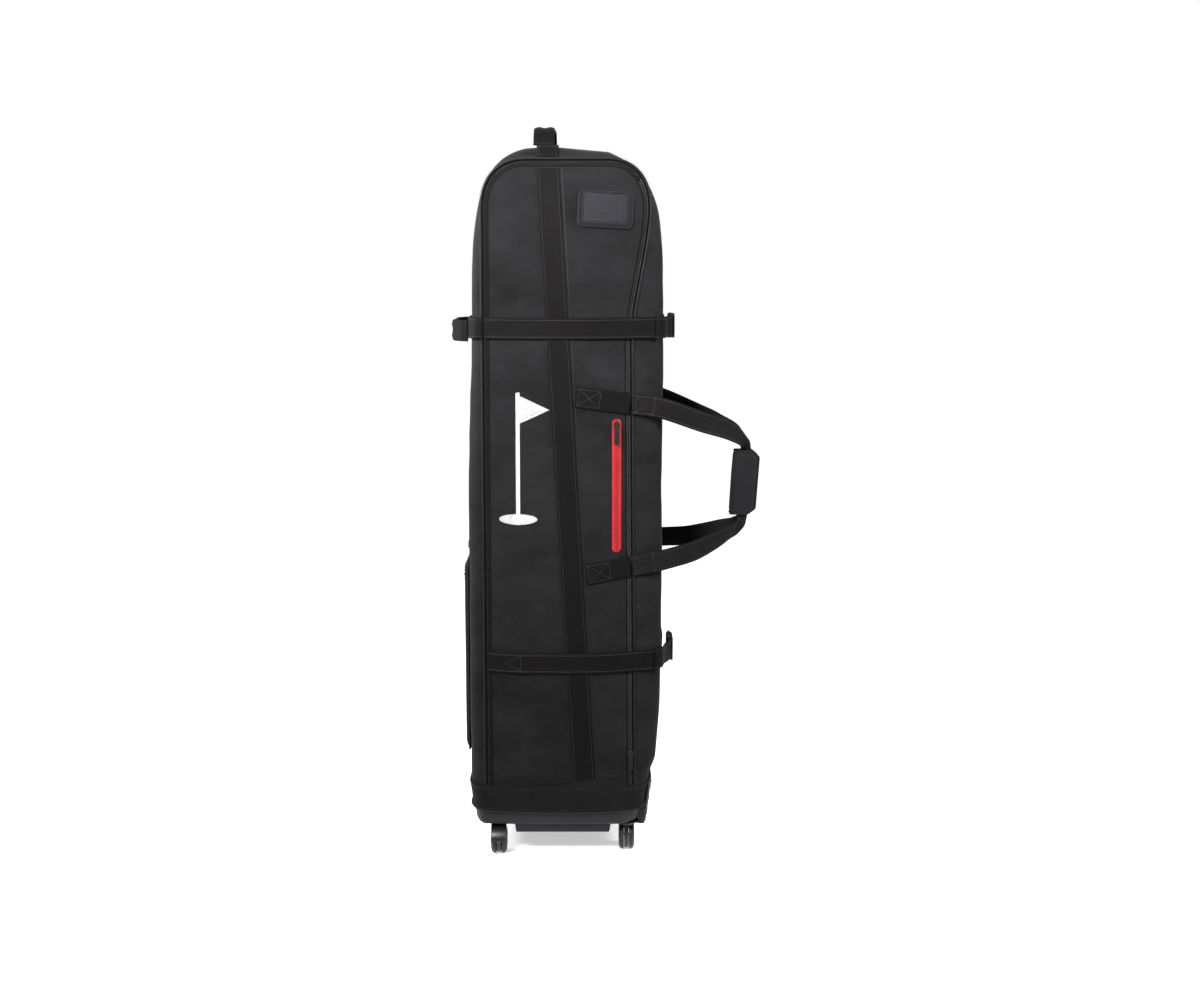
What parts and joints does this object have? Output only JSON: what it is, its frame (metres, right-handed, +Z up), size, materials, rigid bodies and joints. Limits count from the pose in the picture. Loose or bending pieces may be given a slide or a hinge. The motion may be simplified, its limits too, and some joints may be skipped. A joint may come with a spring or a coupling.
{
  "type": "golf travel case",
  "caption": "Tall soft-sided travel case for a golf bag: moulded base on spinner casters, fold-down zipped side, compression straps with buckles, carry loops, grab handles.",
  "frame": {"origin": "on the floor under the centre of the bounding box, the case standing upright on its casters", "axes": "+Z up, +X towards the front of the case where the buckles and carry loops are, -Y towards the side that opens"},
  "size_m": [0.565, 0.3404, 1.32],
  "materials": {
    "fabric": "matte coated polyester",
    "webbing": "ribbed nylon webbing",
    "piping": "coil zip and piping",
    "foam": "closed-cell foam",
    "base_plastic": "textured moulded plastic",
    "board": "stiff board",
    "buckle": "moulded acetal",
    "red_tape": "red coated zip",
    "window": "clear vinyl",
    "thread": "white embroidery",
    "zip_metal": "black enamel",
    "caster": "moulded nylon",
    "wheel": "cast polyurethane",
    "axle": "plated steel"
  },
  "bodies": {
    "case": {"base_shell": "base_plastic", "base_board": "board", "kick_plate": "base_plastic", "skirt_band": "fabric", "gusset_back": "fabric", "gusset_top": "fabric", "gusset_front": "fabric", "side_panel_far": "fabric", "top_pad": "foam", "piping_near": "piping", "piping_far": "piping", "zip_tape_case": "piping", "back_pocket": "fabric", "top_handle": "webbing", "back_handle": "webbing", "webbing_far": "webbing", "strap_upper_far": "webbing", "strap_lower_far": "webbing", "anchor_upper_far": "webbing", "anchor_lower_far": "webbing"},
    "lid": {"lid_panel": "fabric", "zip_tape_lid": "piping", "webbing_near": "webbing", "strap_upper_near": "webbing", "strap_lower_near": "webbing", "buckle_female_upper": "buckle", "buckle_female_lower": "buckle", "anchor_upper_near": "webbing", "anchor_lower_near": "webbing", "id_frame": "webbing", "id_window": "window", "pocket_zip_tape": "red_tape", "emblem": "thread"},
    "carry_near": {"carry_loop_near": "webbing", "grip_near": "webbing"},
    "carry_far": {"carry_loop_far": "webbing", "grip_far": "webbing"},
    "buckle_upper": {"buckle_male_upper": "buckle"},
    "buckle_lower": {"buckle_male_lower": "buckle"},
    "main_zip_slider": {"main_slider": "zip_metal"},
    "main_zip_puller": {"main_puller": "buckle"},
    "pocket_zip_slider": {"pocket_slider": "zip_metal"},
    "pocket_zip_puller": {"pocket_puller": "buckle"},
    "caster_back_near": {"caster_back_near_fork": "caster"},
    "wheels_back_near": {"caster_back_near_wheel_back": "wheel", "caster_back_near_wheel_front": "wheel", "caster_back_near_axle": "axle"},
    "caster_back_far": {"caster_back_far_fork": "caster"},
    "wheels_back_far": {"caster_back_far_wheel_back": "wheel", "caster_back_far_wheel_front": "wheel", "caster_back_far_axle": "axle"},
    "caster_front_near": {"caster_front_near_fork": "caster"},
    "wheels_front_near": {"caster_front_near_wheel_back": "wheel", "caster_front_near_wheel_front": "wheel", "caster_front_near_axle": "axle"},
    "caster_front_far": {"caster_front_far_fork": "caster"},
    "wheels_front_far": {"caster_front_far_wheel_back": "wheel", "caster_front_far_wheel_front": "wheel", "caster_front_far_axle": "axle"}
  },
  "joints": [
    {"name": "lid_fold", "type": "hinge", "parent": "case", "child": "lid", "pos_m": [0, -0.156, 0.134], "axis": [1, 0, 0], "range_deg": [0, 90]},
    {"name": "carry_near_swing", "type": "hinge", "parent": "lid", "child": "carry_near", "pos_m": [0.044, -0.1425, 0.686], "axis": [0, 0, 1], "range_deg": [-110, 0]},
    {"name": "carry_far_swing", "type": "hinge", "parent": "case", "child": "carry_far", "pos_m": [0.044, 0.1425, 0.686], "axis": [0, 0, 1], "range_deg": [0, 110]},
    {"name": "buckle_upper_release", "type": "slide", "parent": "case", "child": "buckle_upper", "axis": [0, 1, 0], "range_m": [0, 0.04]},
    {"name": "buckle_lower_release", "type": "slide", "parent": "case", "child": "buckle_lower", "axis": [0, 1, 0], "range_m": [0, 0.04]},
    {"name": "main_zip_run", "type": "slide", "parent": "lid", "child": "main_zip_slider", "axis": [0, 0, 1], "range_m": [0, 0.11]},
    {"name": "main_puller_flip", "type": "hinge", "parent": "main_zip_slider", "child": "main_zip_puller", "pos_m": [0.04356, -0.15438, 0.199], "axis": [1, 0, 0], "range_deg": [-150, 0]},
    {"name": "pocket_zip_run", "type": "slide", "parent": "lid", "child": "pocket_zip_slider", "axis": [0, 0, -1], "range_m": [0, 0.185]},
    {"name": "pocket_puller_flip", "type": "hinge", "parent": "pocket_zip_slider", "child": "pocket_zip_puller", "pos_m": [0.0175, -0.16313, 0.798], "axis": [1, 0, 0], "range_deg": [-150, 0]},
    {"name": "swivel_back_near", "type": "hinge", "parent": "case", "child": "caster_back_near", "pos_m": [-0.1976, -0.105, 0.06], "axis": [0, 0, 1], "continuous": true},
    {"name": "roll_back_near", "type": "hinge", "parent": "caster_back_near", "child": "wheels_back_near", "pos_m": [-0.1976, -0.117, 0.0265], "axis": [1, 0, 0], "continuous": true},
    {"name": "swivel_back_far", "type": "hinge", "parent": "case", "child": "caster_back_far", "pos_m": [-0.1976, 0.105, 0.06], "axis": [0, 0, 1], "continuous": true},
    {"name": "roll_back_far", "type": "hinge", "parent": "caster_back_far", "child": "wheels_back_far", "pos_m": [-0.1976, 0.093, 0.0265], "axis": [1, 0, 0], "continuous": true},
    {"name": "swivel_front_near", "type": "hinge", "parent": "case", "child": "caster_front_near", "pos_m": [0.037, -0.105, 0.06], "axis": [0, 0, 1], "continuous": true},
    {"name": "roll_front_near", "type": "hinge", "parent": "caster_front_near", "child": "wheels_front_near", "pos_m": [0.037, -0.093, 0.0265], "axis": [1, 0, 0], "continuous": true},
    {"name": "swivel_front_far", "type": "hinge", "parent": "case", "child": "caster_front_far", "pos_m": [0.037, 0.105, 0.06], "axis": [0, 0, 1], "continuous": true},
    {"name": "roll_front_far", "type": "hinge", "parent": "caster_front_far", "child": "wheels_front_far", "pos_m": [0.037, 0.117, 0.0265], "axis": [1, 0, 0], "continuous": true}
  ]
}
